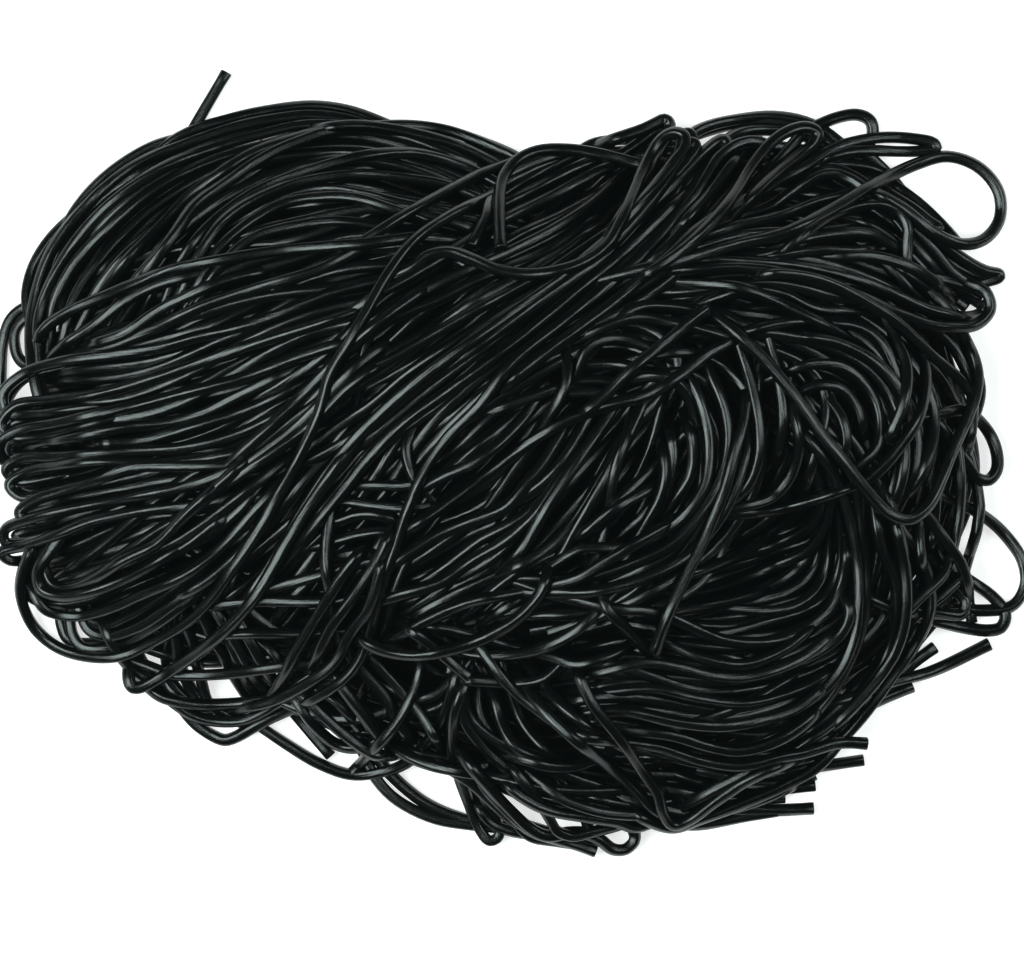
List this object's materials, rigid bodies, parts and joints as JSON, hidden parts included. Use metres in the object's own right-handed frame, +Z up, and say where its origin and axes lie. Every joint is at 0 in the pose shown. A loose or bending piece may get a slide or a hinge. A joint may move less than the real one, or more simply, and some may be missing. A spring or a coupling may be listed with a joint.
{
  "type": "heap of black licorice laces",
  "caption": "Loose tangled heap of long glossy black licorice laces, a thin round candy string, lying as tipped out on a flat surface",
  "frame": {"origin": "on the surface the heap lies on, below the middle of its box", "axes": "+X along the heap's long side, +Y across it, +Z up"},
  "size_m": [0.3184, 0.2438, 0.0571],
  "materials": {
    "black_licorice": "near-black chewy candy with a thin oily satin gloss, fine grain and long drawn streaks"
  },
  "bodies": {
    "root": {"licorice_laces": "black_licorice"}
  },
  "joints": []
}
